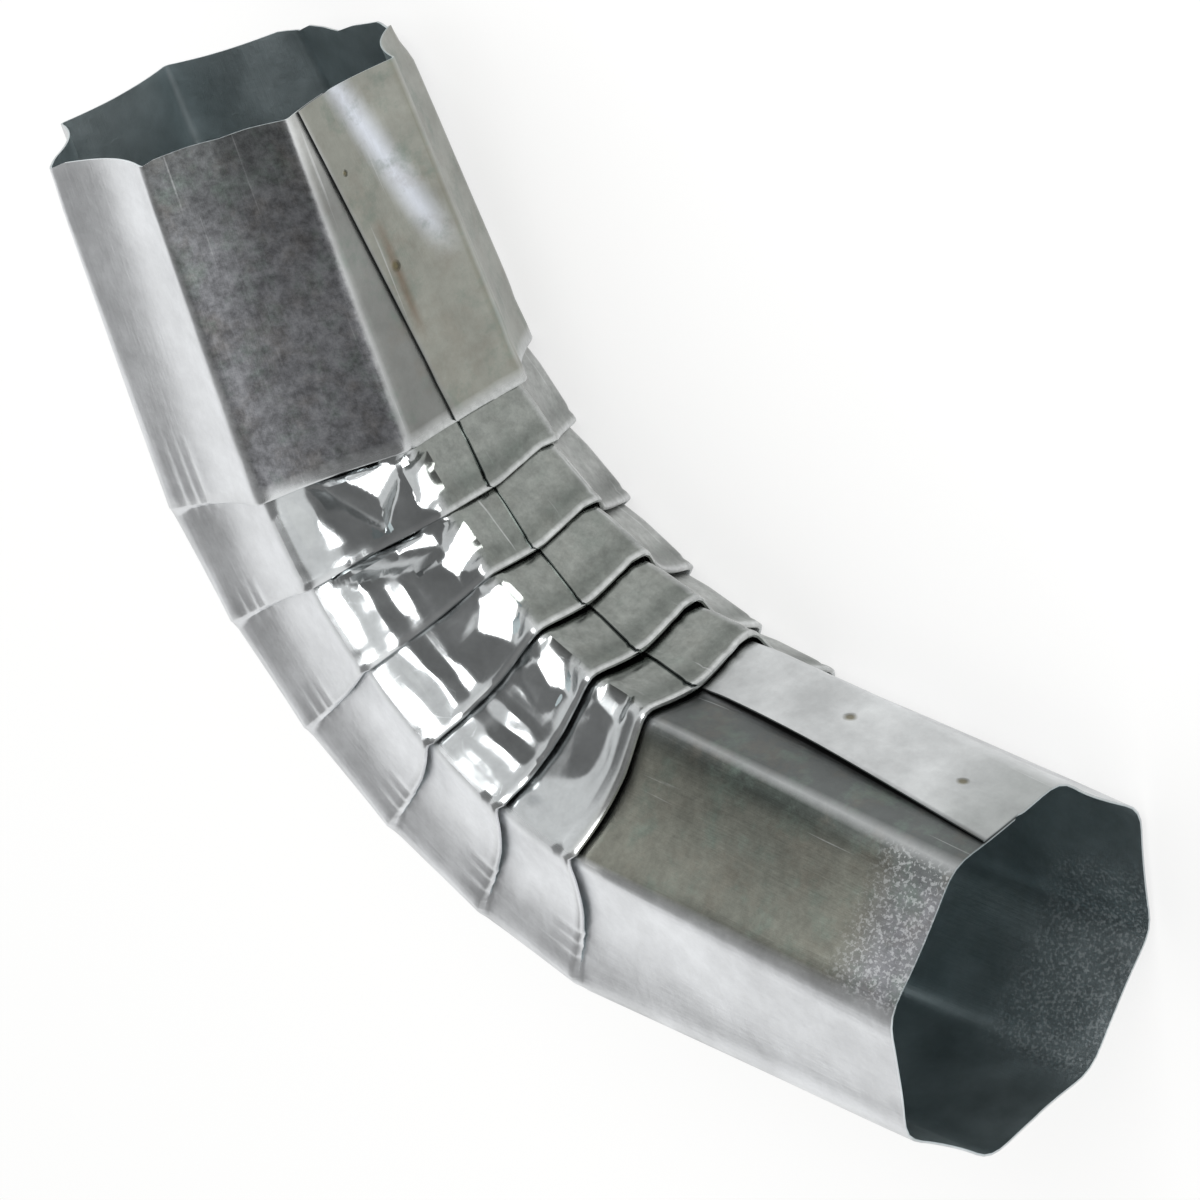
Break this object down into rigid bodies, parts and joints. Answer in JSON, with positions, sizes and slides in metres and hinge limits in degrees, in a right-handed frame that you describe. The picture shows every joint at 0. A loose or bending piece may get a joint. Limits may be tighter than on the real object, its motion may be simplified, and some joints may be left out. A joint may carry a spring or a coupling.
{
  "type": "downspout elbow",
  "caption": "Fluted sheet-steel downspout elbow: a ridged tube bent by folded pleats on its inner side, leading rainwater round a corner.",
  "frame": {"origin": "centre of the outlet rim, where the tube's axis leaves it", "axes": "+X along the outlet arm's axis, out of the outlet; +Y from there towards the throat, the inner side of the bend; +Z the normal of the plane that the bend lies in, up when the elbow lies on its side"},
  "size_m": [0.2322, 0.1949, 0.0792],
  "materials": {
    "galvanised_sheet": "weathered hot-dip zinc, part dull and part bright"
  },
  "bodies": {
    "root": {"elbow": "galvanised_sheet"}
  },
  "joints": []
}
